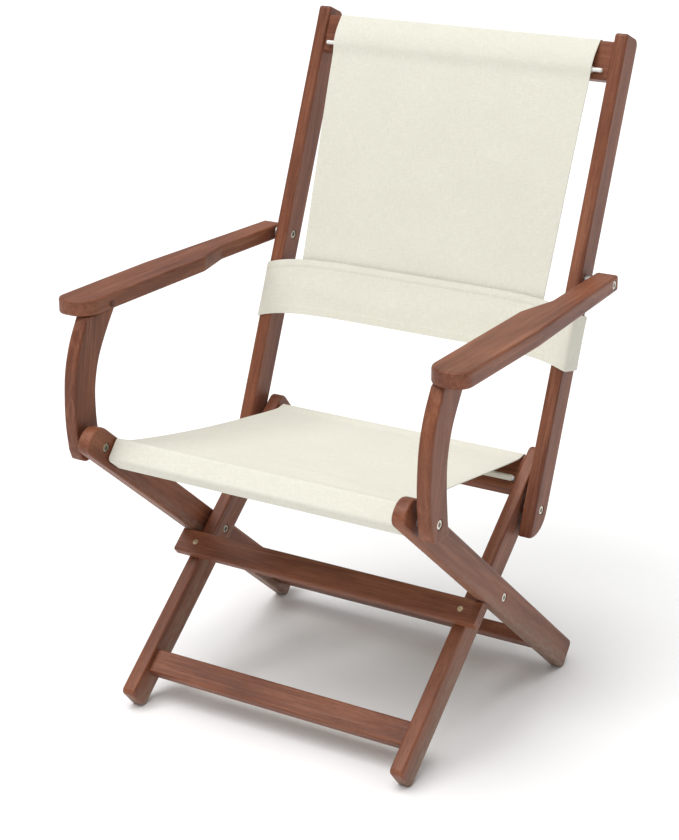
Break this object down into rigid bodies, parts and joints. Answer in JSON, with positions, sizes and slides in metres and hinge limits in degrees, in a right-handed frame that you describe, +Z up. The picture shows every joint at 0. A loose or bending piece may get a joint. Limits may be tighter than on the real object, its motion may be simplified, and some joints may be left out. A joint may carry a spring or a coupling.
{
  "type": "folding armchair",
  "caption": "Wooden folding armchair with crossed legs, canvas seat and back panel, lumbar band and curved arm supports.",
  "frame": {"origin": "middle of the bounding box on the ground", "axes": "+X across the seat, +Z up; the chair faces -Y"},
  "size_m": [0.6328, 0.6599, 0.9221],
  "materials": {
    "timber": "satin",
    "canvas": "matte",
    "fittings": "satin",
    "washers": "matte",
    "rods": "satin"
  },
  "bodies": {
    "front_legs": {"front_leg_left": "timber", "front_leg_right": "timber", "front_foot_rail": "timber", "stop_slat": "timber", "slat_screw_left": "fittings", "slat_screw_right": "fittings", "rear_seat_rail": "timber", "rear_seat_rod": "rods", "seat_canvas": "canvas", "leg_bolt_left": "fittings", "leg_bolt_right": "fittings", "leg_nut_left": "fittings", "leg_nut_right": "fittings", "leg_washer_left": "washers", "leg_washer_right": "washers", "post_bolt_left": "fittings", "post_bolt_right": "fittings", "post_nut_left": "fittings", "post_nut_right": "fittings", "post_washer_left": "washers", "post_washer_right": "washers"},
    "rear_legs": {"rear_leg_left": "timber", "rear_leg_right": "timber", "rear_stretcher": "timber", "front_seat_rail": "timber", "support_nut_left": "fittings", "support_nut_right": "fittings"},
    "backrest": {"back_post_left": "timber", "back_post_right": "timber", "top_rail": "timber", "top_rod": "rods", "back_panel": "canvas", "back_band": "canvas", "arm_bolt_left": "fittings", "arm_bolt_right": "fittings", "arm_nut_left": "fittings", "arm_nut_right": "fittings", "arm_washer_left": "washers", "arm_washer_right": "washers"},
    "arm_left": {"armrest_left": "timber", "arm_support_left": "timber", "arm_plug_left": "timber", "support_bolt_left": "fittings", "support_washer_left": "washers"},
    "arm_right": {"armrest_right": "timber", "arm_support_right": "timber", "arm_plug_right": "timber", "support_bolt_right": "fittings", "support_washer_right": "washers"}
  },
  "joints": [
    {"name": "leg_fold", "type": "hinge", "parent": "front_legs", "child": "rear_legs", "pos_m": [0, -0.0516, 0.195], "axis": [-1, 0, 0], "range_deg": [0, 78], "deforming": ["seat_canvas"]},
    {"name": "back_fold", "type": "hinge", "parent": "front_legs", "child": "backrest", "pos_m": [0, 0.05836, 0.28564], "axis": [-1, 0, 0], "range_deg": [0, 147.1]},
    {"name": "arm_pivot_left", "type": "hinge", "parent": "backrest", "child": "arm_left", "pos_m": [-0.2745, 0.18232, 0.59093], "axis": [-1, 0, 0], "range_deg": [-37.6, 0]},
    {"name": "arm_pivot_right", "type": "hinge", "parent": "backrest", "child": "arm_right", "pos_m": [0.2745, 0.18232, 0.59093], "axis": [-1, 0, 0], "range_deg": [-37.6, 0]}
  ],
  "couplings": [
    {"joint": "back_fold", "follows": "leg_fold", "ratio": 1.8854},
    {"joint": "arm_pivot_left", "follows": "leg_fold", "ratio": -0.481},
    {"joint": "arm_pivot_right", "follows": "leg_fold", "ratio": -0.481}
  ]
}
